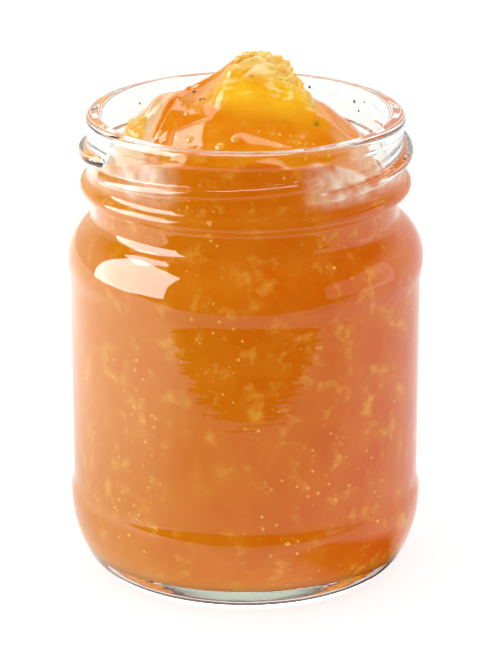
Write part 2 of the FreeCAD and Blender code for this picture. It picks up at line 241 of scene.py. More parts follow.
def ease(low, high, value):
    """0 below low and 1 above high, with a smooth run between."""
    share = np.clip((value - low) / (high - low), 0.0, 1.0)
    return share * share * (3.0 - 2.0 * share)


def lumpy(points, size, octaves, seed):
    """Even, soft noise at each point, from about -1 to 1, with lumps of this size in millimetres."""
    shift = Vector([seed * apart for apart in LUMPS_APART])
    places = (Vector(point) / size + shift for point in points)
    return np.array([noise.fractal(place, LUMPS_FADE, LUMPS_FINER, octaves) for place in places])


def roughen(piece, depth, size, seed):
    """Pushes the skin in and out along its own normals in soft lumps."""
    points = points_of(piece)
    flat = np.zeros(len(points) * 3)
    piece.data.vertices.foreach_get("normal", flat)
    put_points(piece, points + flat.reshape(-1, 3) * (depth * lumpy(points, size, 3, seed))[:, None])


# ---------------------------------------------------------------- glass


def foot_section():
    """The outside of the jar from the middle of its base, round the heel to the top of the lower bead."""
    heel_side = (BODY_RADIUS - HEEL_SIDE, BEAD_LEVEL)
    heel_end = math.degrees(math.atan2(HEEL_ROUND - BEAD_LEVEL, BEARING_OUTER - heel_side[0]))
    section = dome(BEARING_INNER, PUSH_UP, 0.0) + [(BEARING_INNER, 0.0)]
    section += straight((BEARING_INNER, 0.0), (BEARING_OUTER, 0.0), steps=4)
    section += arc((BEARING_OUTER, HEEL_ROUND), HEEL_ROUND, -90.0, heel_end, steps=12)[1:]
    section += arc(heel_side, HEEL_SIDE, heel_end, 0.0, steps=14)[1:]
    section += ogee((BODY_RADIUS, BEAD_LEVEL), (PANEL_RADIUS, PANEL_BOTTOM), steps=10)[1:]
    return section


def shoulder_section():
    """The outside of the jar from the label panel up to the throat."""
    throat_centre = (THROAT_RADIUS + THROAT_ROUND, THROAT_LEVEL)
    shoulder_centre = (BODY_RADIUS - SHOULDER_ROUND, SHOULDER_LEVEL)
    rise = throat_centre[1] - shoulder_centre[1]
    turn = math.degrees(math.atan2(rise, throat_centre[0] - BODY_RADIUS + SHOULDER_ROUND))
    section = straight((PANEL_RADIUS, PANEL_BOTTOM), (PANEL_RADIUS, PANEL_TOP), steps=24)
    section += ogee((PANEL_RADIUS, PANEL_TOP), (BODY_RADIUS, SHOULDER_LEVEL), steps=12)[1:]
    section += arc(shoulder_centre, SHOULDER_ROUND, 0.0, turn, steps=20)[1:]
    section += arc(throat_centre, THROAT_ROUND, 180.0 + turn, 180.0, steps=8)[1:]
    section += straight((THROAT_RADIUS, THROAT_LEVEL), (THROAT_RADIUS, THROAT_TOP), steps=4)
    return section


def neck_section():
    """The outside of the jar from the throat over the transfer bead to the top of the lip."""
    lip_outer = (LIP_RADIUS - LIP_OUTER_ROUND, JAR_HEIGHT - LIP_OUTER_ROUND)
    section = ogee((THROAT_RADIUS, THROAT_TOP), (TRANSFER_RADIUS, TRANSFER_LEVEL), steps=12)[1:]
    section += ogee((TRANSFER_RADIUS, TRANSFER_LEVEL), (NECK_RADIUS, NECK_BOTTOM), steps=10)[1:]
    section += straight((NECK_RADIUS, NECK_BOTTOM), (NECK_RADIUS, NECK_TOP), steps=56)
    section += ogee((NECK_RADIUS, NECK_TOP), (LIP_RADIUS, LIP_LEVEL), steps=6)[1:]
    section += straight((LIP_RADIUS, LIP_LEVEL), (LIP_RADIUS, lip_outer[1]), steps=3)
    section += arc(lip_outer, LIP_OUTER_ROUND, 0.0, 90.0, steps=10)[1:]
    return section


def cavity_section(grow):
    """The inside of the jar below its mouth, from the middle of the floor to the bore, grown outwards."""
    section = [(reach, level - grow) for reach, level in dome(FLOOR_RADIUS, PUSH_UP, FLOOR_LEVEL)]
    section += arc((FLOOR_RADIUS, FLOOR_LEVEL + FLOOR_ROUND), FLOOR_ROUND + grow, -90.0, 0.0, steps=16)
    wall = (CAVITY_RADIUS + grow, CAVITY_SHOULDER)
    section += straight(section[-1], wall, steps=26)
    section += ogee(wall, (BORE_RADIUS + grow, BORE_BOTTOM), steps=18)[1:]
    return section


def lug_reach(angle, level):
    """Radius of the thread lugs at an angle round the neck and a level, or 0 beside them."""
    reach = np.zeros_like(level)
    for lug in range(LUG_COUNT):
        station = ((angle - LUG_START - lug * FULL_TURN / LUG_COUNT) % FULL_TURN) / LUG_SPAN
        near = np.clip(np.minimum(station, 1.0 - station) / LUG_LEAD, 0.0, 1.0)
        peak = NECK_RADIUS - LUG_FADE + (LUG_DEPTH + LUG_FADE) * np.sin(math.pi / 2 * near)
        off = np.abs(level - LUG_LEVEL - LUG_RISE * (station - 0.5))
        tip = peak - LUG_TIP
        rounded = tip + np.sqrt(np.maximum(LUG_TIP**2 - off**2, 0.0))
        flank = tip - (off - LUG_TIP) / (LUG_ROOT - LUG_TIP) * (tip - NECK_RADIUS + LUG_BITE)
        here = np.where(off < LUG_TIP, rounded, flank)
        reach = np.maximum(reach, np.where(station <= 1.0, here, 0.0))
    return reach


def make_glass():
    """The jar itself: one closed wall, with the thread lugs drawn out of the neck."""
    lip_inner = (BORE_RADIUS + LIP_INNER_ROUND, JAR_HEIGHT - LIP_INNER_ROUND)
    outside = foot_section() + shoulder_section() + neck_section()
    mouth = arc(lip_inner, LIP_INNER_ROUND, 90.0, 180.0, steps=10)
    bore = straight((BORE_RADIUS, BORE_BOTTOM), (BORE_RADIUS, lip_inner[1]), steps=10)
    inside = cavity_section(0.0) + bore
    glass = turned("jar_of_glass", outside + mouth + inside[::-1][1:], AROUND_GLASS)
    points = points_of(glass)
    radius = np.hypot(points[:, 0], points[:, 1])
    angle = np.arctan2(points[:, 1], points[:, 0])
    outer = (radius > NECK_RADIUS - HAIR) & (points[:, 2] > NECK_BOTTOM) & (points[:, 2] < LIP_LEVEL)
    wanted = np.where(outer, np.maximum(radius, lug_reach(angle, points[:, 2])), radius)
    points[:, :2] *= (wanted / np.maximum(radius, WELD))[:, None]
    put_points(glass, points)
    mark(glass, "stipple", (points[:, 2] < PUSH_UP + 2 * HAIR) & (radius < BEARING_OUTER + 2 * HAIR))
    glass.data.materials.append(clear_glass())
    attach(glass, "root")
    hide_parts("jar_glass")
    return glass


# ---------------------------------------------------------------- jam

# the lift of the gel over the fruit that lies under it
BULGE_PLACE = (3.6, -12.2)
BULGE_REACH = (11.5, 8.6)
BULGE_FADE = (0.45, 1.25)
BULGE_LIFT = 1.5

# where the fruit shows golden through the gel
GOLDEN_PLACE = (3.2, -10.8)
GOLDEN_REACH = (13.5, 7.8)
GOLDEN_FADE = (0.55, 1.2)

# soft lumps of the gel, its fine wet grain, and the rougher lumps of its back
SLUMP_HEIGHT = 0.22
SLUMP_SIZE = 6.5
GRAIN_HEIGHT = 0.03
GRAIN_SIZE = 1.6
BACK_HEIGHT = 0.9
BACK_SIZE = 3.6
BACK_FROM = (-5.0, 3.0)

# folds of gel: start, end, width and height
GEL_FOLDS = [
    ((0.9, -5.8), (-11.1, -2.7), 0.7, 0.7),
    ((-11.1, -2.7), (-15.9, -10.3), 0.6, 0.6),
    ((-15.9, -10.3), (-18.1, -14.8), 0.6, 0.4),
    ((-12.0, -1.5), (-21.5, -9.5), 1.0, 0.7),
    ((12.0, -14.5), (21.0, -10.5), 1.2, 0.9),
    ((-3.0, -25.0), (-15.0, -21.0), 1.5, 0.4),
]
FOLD_TAIL = 0.15
FOLD_LEAD = 0.1

# lobes of gel: place, heading, length, width and rise
GEL_LOBES = [
    ((-17.0, -5.0), math.radians(30.0), 5.5, 4.5, 2.3),
    ((15.5, -5.0), math.radians(-30.0), 5.0, 4.5, 2.3),
    ((-17.5, -13.5), math.radians(35.0), 3.5, 2.0, 0.9),
    ((15.5, -15.5), math.radians(-40.0), 4.5, 2.2, 0.9),
    ((3.5, -23.0), math.radians(85.0), 6.0, 1.8, 0.6),
]

# the smooth face that the spoon left on the front of the heap
FACE_PLACE = (-10.9, -20.0)
FACE_SLOPE = (0.568, 0.741)
FACE_HALF = (3.6, 2.5)
FACE_TURN = math.radians(-14.0)
FACE_LIFT = 0.35
FACE_EDGE = 0.7

# the pale band painted on the heap's left side as the window's reflection on its gel: its edges at the front
# and at the side, how soft they are, and where it ends
REFLECTION_FRONT = [(-11.0, -2.7), (-8.0, -3.0), (-3.7, -5.2), (0.9, -5.8)]
REFLECTION_SIDE = [(-18.1, -14.8), (-17.2, -13.0), (-15.9, -10.3), (-14.4, -7.0), (-11.1, -2.7)]
REFLECTION_EDGE = (-0.5, 0.7)
REFLECTION_RIGHT = (-1.0, 2.0)
REFLECTION_BACK = (-1.0, 5.0)

# how the jam meets the wall, and the pale frosted patches of jam on the glass at both sides
BELOW_LIP = 0.2
LEVEL_NEAR_WALL = (1.5, 0.2)
TOUCH_NEAR_WALL = (0.6, 0.1)
TOUCH_OVER_BORE = 1.0
FROST_LEVEL = (79.0, 82.5)
FROST_SIDE = (10.0, 17.0)
FROST_MIDDLE = -1.0
FROST_EVEN = 0.65
FROST_PATCHY = 0.8
FROST_PATCH = 3.0


def scoop_height(x, y):
    """Height of the jam's free surface, a scoop that slumps to the front."""
    across = x - SCOOP_PLACE[0]
    along = y - SCOOP_PLACE[1]
    reach_x = np.where(across > 0, SCOOP_REACH["right"], SCOOP_REACH["left"])
    reach_y = np.where(along > 0, SCOOP_REACH["back"], SCOOP_REACH["front"])
    away = np.hypot(across / reach_x, along / reach_y)
    cone = 1.0 - SCOOP_FALL * (np.hypot(away, SCOOP_BLUNT) - SCOOP_BLUNT)
    side = 1.0 - ease(1.0 - SCOOP_RIM / 2, 1.0 + SCOOP_RIM / 2, away)
    wave = WAVE_HEIGHT * np.cos((x + WAVE_SHIFT) / WAVE_ACROSS) * np.cos(along / WAVE_ALONG)
    wave += RIPPLE_HEIGHT * np.sin((x + y) / RIPPLE_LENGTH)
    return JAM_LEVEL + SCOOP_RISE * cone * side + (WAVE_AT_WALL + (1.0 - WAVE_AT_WALL) * side) * wave


def oval_share(x, y, place, reach, fade):
    """1 inside an oval round a place, 0 well away from it."""
    return 1.0 - ease(*fade, np.hypot((x - place[0]) / reach[0], (y - place[1]) / reach[1]))


def golden_share(x, y):
    """1 where the fruit shows golden through the gel, 0 well away from it."""
    return oval_share(x, y, GOLDEN_PLACE, GOLDEN_REACH, GOLDEN_FADE)


def fold(x, y, start, end, width, height):
    """A soft fold of gel along a line, fading out at both ends."""
    run = (end[0] - start[0], end[1] - start[1])
    long = math.hypot(*run)
    along = ((x - start[0]) * run[0] + (y - start[1]) * run[1]) / long**2
    across = ((x - start[0]) * run[1] - (y - start[1]) * run[0]) / long
    fade = ease(-FOLD_TAIL, FOLD_LEAD, along) * (1.0 - ease(1.0 - FOLD_LEAD, 1.0 + FOLD_TAIL, along))
    return height * fade * np.exp(-((across / width) ** 2))


def lobe(x, y, place, heading, long, short, rise):
    """A rounded lobe of gel, drawn out across its heading."""
    across = (x - place[0]) * math.cos(heading) + (y - place[1]) * math.sin(heading)
    along = (y - place[1]) * math.cos(heading) - (x - place[0]) * math.sin(heading)
    return rise * np.exp(-((across / short) ** 2) - (along / long) ** 2)


def spoon_face(x, y, height):
    """The heap's height with one nearly flat face pressed on it."""
    across = x - FACE_PLACE[0]
    along = y - FACE_PLACE[1]
    wide = np.abs(across * math.cos(FACE_TURN) + along * math.sin(FACE_TURN))
    deep = np.abs(along * math.cos(FACE_TURN) - across * math.sin(FACE_TURN))
    inside = 1.0 - ease(-FACE_EDGE, FACE_EDGE, np.maximum(wide - FACE_HALF[0], deep - FACE_HALF[1]))
    middle = scoop_height(*[np.array([c]) for c in FACE_PLACE])[0] + FACE_LIFT
    flat = middle + FACE_SLOPE[0] * across + FACE_SLOPE[1] * along
    return height + inside * (flat - height)


def jam_surface(points):
    """The free surface with its folds, lobes, soft lumps and fine wet grain."""
    x, y = points[:, 0], points[:, 1]
    height = scoop_height(x, y) + BULGE_LIFT * oval_share(x, y, BULGE_PLACE, BULGE_REACH, BULGE_FADE)
    flat = np.column_stack([x, y, np.zeros_like(x)])
    height += SLUMP_HEIGHT * lumpy(flat, SLUMP_SIZE, octaves=2, seed=1)
    height += GRAIN_HEIGHT * lumpy(flat, GRAIN_SIZE, octaves=2, seed=2)
    height += BACK_HEIGHT * ease(*BACK_FROM, y) * lumpy(flat, BACK_SIZE, octaves=3, seed=8)
    for one in GEL_LOBES:
        height += lobe(x, y, *one)
    for one in GEL_FOLDS:
        height += fold(x, y, *one)
    return spoon_face(x, y, height)


def gel_level(x, y):
    """Height of the gel at one place."""
    return float(jam_surface(np.array([[x, y, 0.0]]))[0])


def painted_reflection_share(x, y):
    """1 on the pale band of painted reflection over the heap's left side, 0 in front of its edge and at the
    back.
    """
    front_x, front_y = zip(*REFLECTION_FRONT)
    side_x, side_y = zip(*REFLECTION_SIDE)
    behind = ease(*REFLECTION_EDGE, y - np.interp(x, front_x, front_y)) * (1.0 - ease(*REFLECTION_RIGHT, x))
    beside = ease(*REFLECTION_EDGE, np.interp(y, side_y, side_x) - x)
    return np.maximum(behind, beside) * (1.0 - ease(*REFLECTION_BACK, y))


def frost_share(points):
    """1 where the jam shows pale on the neck at the left and right, in soft patches."""
    sides = ease(*FROST_LEVEL, points[:, 2]) * ease(*FROST_SIDE, np.abs(points[:, 0] - FROST_MIDDLE))
    patchy = FROST_EVEN + FROST_PATCHY * lumpy(points, FROST_PATCH, octaves=3, seed=6)
    return np.clip(sides * patchy, 0.0, 1.0)


def slumped(points, edge):
    """The jam's points with its level top, out to this edge, raised to the slumped scoop."""
    radius = np.hypot(points[:, 0], points[:, 1])
    top = np.where((points[:, 2] > BORE_BOTTOM) & (radius < edge + HAIR))[0]
    share = (points[top, 2] - BORE_BOTTOM) / (JAM_LEVEL - BORE_BOTTOM)
    surface = jam_surface(points[top])
    highest = JAR_HEIGHT - LIP_INNER_ROUND - BELOW_LIP
    at_wall = ease(edge - LEVEL_NEAR_WALL[0], edge - LEVEL_NEAR_WALL[1], radius[top])
    surface = np.where(surface > highest, surface * (1 - at_wall) + highest * at_wall, surface)
    points[top, 2] = BORE_BOTTOM + share * (surface - BORE_BOTTOM)
    return points


def make_jam():
    """The jam in the jar: its wall reaches just into the glass, its top is the slumped scoop."""
    edge = BORE_RADIUS + JAM_OVERLAP
    section = cavity_section(JAM_OVERLAP) + straight((edge, BORE_BOTTOM), (edge, JAM_LEVEL), steps=8)
    section += [(edge * (1.0 - step / JAM_RINGS), JAM_LEVEL) for step in range(1, JAM_RINGS + 1)]
    jam = turned("jam_filling", section, AROUND_JAM)
    points = slumped(points_of(jam), edge)
    put_points(jam, points)
    radius = np.hypot(points[:, 0], points[:, 1])
    wall = ease(edge - TOUCH_NEAR_WALL[0], edge - TOUCH_NEAR_WALL[1], radius)
    wall = np.where(points[:, 2] < BORE_BOTTOM + TOUCH_OVER_BORE, 1.0, wall)
    # the pale band of painted reflection on the heap's left side
    mark(jam, "film", painted_reflection_share(points[:, 0], points[:, 1]) * (1.0 - wall))
    mark(jam, "frost", frost_share(points) * wall)
    mark(jam, "golden", golden_share(points[:, 0], points[:, 1]) * (1.0 - wall))
    jam.data.materials.append(gel_on_top())
    jam.data.materials.append(gel_in_glass())
    for face in jam.data.polygons:
        face.material_index = int(min(wall[corner] for corner in face.vertices) > 0.5)
    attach(jam, "root")
    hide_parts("jam")


# ---------------------------------------------------------------- fruit

# the big piece: the coat of gel over it, how it is worn off, how far it stands proud, and its torn side
COAT_OVER_FRUIT = 0.6
COAT_WORN = 1.3
STANDS_PROUD = 0.3
TORN_LEVEL = (100.5, 103.5)
TORN_SLOPE = 0.25
TORN_MIDDLE = 3.0

# the torn edge, point by point, and the frilled lumps of pulp along it
TORN_EDGE = [
    (0.6, -3.9, 103.5),
    (3.8, -4.0, 104.0),
    (6.6, -4.6, 103.2),
    (8.7, -5.8, 101.3),
    (10.2, -7.0, 99.5),
    (11.5, -8.0, 97.8),
    (12.9, -9.4, 96.0),
]
CORE_BELOW = (0.9, 0.4, 1.1)
CORE_SIZE = (2.1, 1.5, 1.7)
CORE_TURN = (0.0, 0.8, 0.0)
FRILLS = 16
FRILL_SCATTER = 0.5
FRILL_INWARD = (3.0, 3.2)
FRILL_CROWDING = 1.4
FRILL_PROUD = (0.3, 0.9)
FRILL_GIRTH = (0.45, 1.25)
FRILL_THINNER = 0.35
FRILL_LENGTH = (0.6, 1.5)
FRILL_DEPTH = (0.5, 1.0)
FRILL_TURN = (0, 3)

# specks on the gel: x, y and radius
SPECKS_ON_GEL = [
    (-8.6, -10.9, 0.34),
    (0.5, -16.3, 0.26),
    (2.9, -17.4, 0.28),
    (-7.9, -11.5, 0.2),
    (-9.9, -5.2, 0.3),
]
# specks on the bare inside of the neck: degrees round it, level and radius
SPECKS_ON_GLASS = [
    (62.0, 90.2, 0.3),
    (38.0, 89.2, 0.34),
    (35.0, 87.6, 0.24),
    (140.0, 88.6, 0.24),
    (31.0, 89.8, 0.18),
]
SPECK_PROUD = 0.1
SPECK_LONG = 1.3
SPECK_FLAT = 0.6
SPECK_THIN = 0.5
SPECK_TILT = (0.2, 0.3)

# bubbles in the wet skin: x, y and radius
BUBBLES = [
    (-10.4, -20.6, 0.9),
    (-2.0, -22.8, 1.0),
    (-4.8, -24.2, 0.95),
    (1.0, -11.0, 0.95),
    (-8.6, -11.2, 0.5),
    (-11.2, -13.6, 0.55),
    (0.4, -16.4, 0.35),
    (3.0, -17.2, 0.4),
    (4.5, -18.4, 0.3),
    (-3.6, -7.6, 0.7),
    (-12.8, -6.6, 0.6),
    (-16.2, -14.6, 0.8),
    (-6.6, -9.6, 0.3),
    (7.2, -17.9, 0.35),
]
BUBBLE_SUNK = 0.05
BUBBLE_FLAT = 0.35
BUBBLE_TILT = (0.6, -0.3, 0.0)


def lump(place, size, turn=(0.0, 0.0, 0.0), fine=2):
    """One soft lump of fruit at its place, size and turn."""
    start_clean()
    bpy.ops.mesh.primitive_ico_sphere_add(
        subdivisions=fine, radius=MM, location=[c * MM for c in place], rotation=turn, scale=size
    )
    piece = bpy.context.object
    settle(piece)
    return piece


def merged(name, pieces, voxel, soften):
    """Lumps grown together into one closed skin."""
    piece = grown_together(name, pieces)
    remesh = piece.modifiers.new("skin", "REMESH")
    remesh.mode = "VOXEL"
    remesh.voxel_size = voxel * MM
    bpy.ops.object.modifier_apply(modifier="skin")
    smooth = piece.modifiers.new("soft", "SMOOTH")
    smooth.iterations = soften
    smooth.factor = 0.5
    bpy.ops.object.modifier_apply(modifier="soft")
    bpy.ops.object.shade_smooth()
    return piece


def own_copy(source, name):
    """A separate merged copy of a part's mesh, to be worked further."""
    start_clean()
    piece = source.copy()
    piece.data = source.data.copy()
    piece.name = name
    piece.parent = None
    piece.data.materials.clear()
    for key in list(piece.keys()):
        del piece[key]
    bpy.context.scene.collection.objects.link(piece)
    pick(piece)
    bpy.ops.object.mode_set(mode="EDIT")
    bpy.ops.mesh.select_all(action="SELECT")
    bpy.ops.mesh.remove_doubles(threshold=WELD)
    bpy.ops.object.mode_set(mode="OBJECT")
    return piece


def make_top_fruit(solid):
    """The big golden piece on top of the heap, under a coat of gel, torn along its upper edge."""
    fruit = merged("fruit_on_top", [own_copy(solid, "fruit_start")], voxel=0.35, soften=18)
    points = points_of(fruit)
    golden = golden_share(points[:, 0], points[:, 1])
    skin = jam_surface(points) - COAT_OVER_FRUIT + COAT_WORN * golden
    over = np.maximum(points[:, 2] - skin, 0.0)
    points[:, 2] -= over - STANDS_PROUD * (1.0 - np.exp(-over / STANDS_PROUD))
    put_points(fruit, points)
    roughen(fruit, depth=0.12, size=2.6, seed=3)
    mark(fruit, "sunk", 1.0 - golden)
    mark(fruit, "torn", ease(*TORN_LEVEL, points[:, 2] + TORN_SLOPE * (points[:, 0] - TORN_MIDDLE)))
    fruit.data.materials.append(apricot_flesh())
    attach(fruit, "root")
    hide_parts("apricot_piece")


def frill_lump(wild, first, second, step):
    """One small lump of pulp near the torn edge, sinking to the gel the further in it lies."""
    share = (step + wild.uniform(-FRILL_SCATTER, FRILL_SCATTER)) / FRILLS
    inward = wild.uniform(0.0, 1.0) ** FRILL_CROWDING
    scatter = (wild.uniform(-FRILL_SCATTER, FRILL_SCATTER) for _ in first)
    x, y, z = (a + (b - a) * share + off for a, b, off in zip(first, second, scatter))
    x -= FRILL_INWARD[0] * inward
    y -= FRILL_INWARD[1] * inward
    level = gel_level(x, y) + wild.uniform(*FRILL_PROUD)
    girth = wild.uniform(*FRILL_GIRTH) * (1.0 - FRILL_THINNER * inward)
    size = (girth, girth * wild.uniform(*FRILL_LENGTH), girth * wild.uniform(*FRILL_DEPTH))
    turn = [wild.uniform(*FRILL_TURN) for _ in size]
    return lump((x, y, z + (level - z) * inward), size, turn)


def make_torn_edge():
    """The frilled pale pulp along the top and the right edge of the big piece."""
    wild = random.Random(11)
    lumps = []
    for first, second in zip(TORN_EDGE, TORN_EDGE[1:]):
        core = [(a + b) / 2 - below for a, b, below in zip(first, second, CORE_BELOW)]
        lumps.append(lump(core, CORE_SIZE, CORE_TURN))
        lumps += [frill_lump(wild, first, second, step) for step in range(FRILLS)]
    frill = merged("torn_pulp", lumps, voxel=0.2, soften=1)
    roughen(frill, depth=0.2, size=1.3, seed=9)
    mark(frill, "torn", 0.55 + 0.6 * lumpy(points_of(frill), 2.2, octaves=2, seed=12))
    mark(frill, "sunk", np.zeros(len(frill.data.vertices)))
    frill.data.materials.append(apricot_flesh())
    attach(frill, "root")


def make_side_fruit(solid):
    """The smaller, paler piece against the left of the heap."""
    fruit = merged("fruit_at_left", [own_copy(solid, "side_start")], voxel=0.25, soften=4)
    roughen(fruit, depth=0.35, size=2.5, seed=5)
    mark(fruit, "torn", np.full(len(fruit.data.vertices), 0.45))
    mark(fruit, "sunk", np.zeros(len(fruit.data.vertices)))
    fruit.data.materials.append(apricot_flesh())
    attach(fruit, "root")
    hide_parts("apricot_piece_left")


def make_bubbles():
    """Clear bubbles and droplets that stand in the wet skin of the gel."""
    drops = []
    for x, y, radius in BUBBLES:
        place = (x, y, gel_level(x, y) - BUBBLE_SUNK * radius)
        drops.append(lump(place, (radius, radius, BUBBLE_FLAT * radius), BUBBLE_TILT, fine=3))
    bubbles = grown_together("gel_bubbles", drops)
    bubbles.data.materials.append(bubble_gel())
    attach(bubbles, "root")


def make_specks():
    """Small brown flecks on the gel and on the bare inside of the neck."""
    specks = []
    for x, y, radius in SPECKS_ON_GEL:
        size = (radius * SPECK_LONG, radius, radius * SPECK_FLAT)
        specks.append(lump((x, y, gel_level(x, y) + SPECK_PROUD), size, (*SPECK_TILT, x)))
    for degrees, level, radius in SPECKS_ON_GLASS:
        angle = math.radians(degrees)
        reach = BORE_RADIUS - SPECK_PROUD
        place = (reach * math.cos(angle), reach * math.sin(angle), level)
        specks.append(lump(place, (radius * SPECK_THIN, radius, radius), (0.0, 0.0, angle)))
    flecks = grown_together("brown_specks", specks)
    flecks.data.materials.append(dark_speck())
    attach(flecks, "root")


# ---------------------------------------------------------------- material helpers

# the sockets of the colour Mix node
MIX_FACTOR = 0
MIX_FIRST = 6
MIX_SECOND = 7
MIX_RESULT = 2


def grey(tone):
    """A plain grey."""
    return (tone, tone, tone)


def new_finish(name):
    """An empty node material and its surface shader."""
    finish = bpy.data.materials.new(name)
    finish.use_nodes = True
    tree = finish.node_tree
    tree.nodes.clear()
    out = tree.nodes.new("ShaderNodeOutputMaterial")
    skin = tree.nodes.new("ShaderNodeBsdfPrincipled")
    tree.links.new(skin.outputs["BSDF"], out.inputs["Surface"])
    return finish, tree, skin


def new_group(name, takes, gives):
    """An empty node group with these named inputs and outputs; gives its nodes' tree and its two ends."""
    tree = bpy.data.node_groups.new(name, "ShaderNodeTree")
    for title, kind in takes.items():
        tree.interface.new_socket(name=title, in_out="INPUT", socket_type=kind)
    for title, kind in gives.items():
        tree.interface.new_socket(name=title, in_out="OUTPUT", socket_type=kind)
    return tree, tree.nodes.new("NodeGroupInput"), tree.nodes.new("NodeGroupOutput")


def placed(tree, name, where, **values):
    """Places a node group over the piece with its own values, given as sockets or plainly."""
    node = tree.nodes.new("ShaderNodeGroup")
    node.node_tree = bpy.data.node_groups[name]
    tree.links.new(where, node.inputs["Place"])
    for title, value in values.items():
        feed(tree, node.inputs[title], value)
    return node.outputs


def feed(tree, socket, value):
    """Gives a socket its value: another socket, a plain colour or a number."""
    if isinstance(value, bpy.types.NodeSocket):
        tree.links.new(value, socket)
    elif isinstance(value, tuple):
        socket.default_value = (*value, 1.0)
    else:
        socket.default_value = value


def place_reader(tree):
    """The piece's own coordinates."""
    return tree.nodes.new("ShaderNodeTexCoord").outputs["Object"]


def parts_of(tree, where):
    """The X, Y and Z of a place, each a socket of its own."""
    split = tree.nodes.new("ShaderNodeSeparateXYZ")
    tree.links.new(where, split.inputs["Vector"])
    return split.outputs


def attribute(tree, name):
    """A number kept on the piece's vertices."""
    node = tree.nodes.new("ShaderNodeAttribute")
    node.attribute_name = name
    return node.outputs["Fac"]


def remap(tree, value, low, high, to_low=0.0, to_high=1.0):
    """Stretches a value from one range to another, held at both ends."""
    node = tree.nodes.new("ShaderNodeMapRange")
    bounds = {"From Min": low, "From Max": high, "To Min": to_low, "To Max": to_high}
    for title, bound in bounds.items():
        feed(tree, node.inputs[title], bound)
    tree.links.new(value, node.inputs["Value"])
    return node.outputs["Result"]


def blend(tree, factor, first, second):
    """Mixes two colours, given as sockets or as plain colours."""
    node = tree.nodes.new("ShaderNodeMix")
    node.data_type = "RGBA"
    feed(tree, node.inputs[MIX_FIRST], first)
    feed(tree, node.inputs[MIX_SECOND], second)
    tree.links.new(factor, node.inputs[MIX_FACTOR])
    return node.outputs[MIX_RESULT]


def worked_out(tree, operation, first, second):
    """One operation on two values."""
    node = tree.nodes.new("ShaderNodeMath")
    node.operation = operation
    tree.links.new(first, node.inputs[0])
    tree.links.new(second, node.inputs[1])
    return node.outputs["Value"]


def band(tree, value, rise, fall):
    """1 between two soft edges, each given by where it starts and ends in millimetres, 0 beyond them."""
    rising = remap(tree, value, rise[0] * MM, rise[1] * MM)
    falling = remap(tree, value, fall[0] * MM, fall[1] * MM, 1.0, 0.0)
    return worked_out(tree, "MINIMUM", rising, falling)


def soak(skin, scale, radius):
    """Lets light soak into the piece; scale is in millimetres, radius its share in red, green and blue."""
    skin.inputs["Subsurface Weight"].default_value = 1.0
    skin.inputs["Subsurface Radius"].default_value = radius
    skin.inputs["Subsurface Scale"].default_value = scale * MM


# ---------------------------------------------------------------- effects that finishes share

# how far soft clouds are stretched so that they run from 0 to 1, and flecks from their middle outwards
CLOUD_RANGE = (0.3, 0.7)
FLECKS_IN_METRE = 520.0
FLECK_RANGE = (0.06, 0.20)
FLECK_PATCHES = (0.50, 0.62)
PULP_RANGE = (0.55, 0.72)
PULP_MOST = 0.7
GEL_CLOUD_RANGE = (0.35, 0.7)
GEL_CLOUD_MOST = 0.35

GEL_CLOUDY = (0.78, 0.30, 0.02)
GEL_PULP = (0.80, 0.40, 0.05)
GEL_FLECK = (0.88, 0.56, 0.14)
GEL_GOLDEN = (0.90, 0.42, 0.006)
# pale colour of the painted window reflection on the heap's left side
GEL_PAINTED_REFLECTION = (0.80, 0.50, 0.25)
GEL_FROST = (0.90, 0.74, 0.60)


def make_soft_clouds():
    """Group: soft clouds over a piece, so many in a metre, 0 below Low and Most above High."""
    values = ("Lumps", "Detail", "Grain", "Low", "High", "Most")
    takes = {"Place": "NodeSocketVector"} | {title: "NodeSocketFloat" for title in values}
    tree, given, result = new_group("soft_clouds", takes, {"Cloud": "NodeSocketFloat"})
    field = tree.nodes.new("ShaderNodeTexNoise")
    sources = {"Vector": "Place", "Scale": "Lumps", "Detail": "Detail", "Roughness": "Grain"}
    for title, source in sources.items():
        tree.links.new(given.outputs[source], field.inputs[title])
    bounds = (given.outputs["Low"], given.outputs["High"])
    cloud = remap(tree, field.outputs["Fac"], *bounds, 0.0, given.outputs["Most"])
    tree.links.new(cloud, result.inputs["Cloud"])


def make_fine_relief():
    """Group: fine relief over a piece, so many lumps in a metre and so many metres deep."""
    takes = {"Place": "NodeSocketVector", "Lumps": "NodeSocketFloat", "Depth": "NodeSocketFloat"}
    tree, given, result = new_group("fine_relief", takes, {"Normal": "NodeSocketVector"})
    field = tree.nodes.new("ShaderNodeTexNoise")
    bump = tree.nodes.new("ShaderNodeBump")
    tree.links.new(given.outputs["Place"], field.inputs["Vector"])
    tree.links.new(given.outputs["Lumps"], field.inputs["Scale"])
    tree.links.new(given.outputs["Depth"], bump.inputs["Distance"])
    tree.links.new(field.outputs["Fac"], bump.inputs["Height"])
    tree.links.new(bump.outputs["Normal"], result.inputs["Normal"])


def clouds(tree, where, lumps, detail=2.0, grain=0.5, span=CLOUD_RANGE, most=1.0):
    """Places the soft clouds with their values; span is from where to where they are stretched."""
    values = {"Lumps": lumps, "Detail": detail, "Grain": grain, "Low": span[0], "High": span[1], "Most": most}
    return placed(tree, "soft_clouds", where, **values)["Cloud"]


def fine_relief(tree, skin, where, lumps, depth):
    """Gives the shader fine relief; depth is in millimetres."""
    normal = placed(tree, "fine_relief", where, Lumps=lumps, Depth=depth * MM)["Normal"]
    tree.links.new(normal, skin.inputs["Normal"])


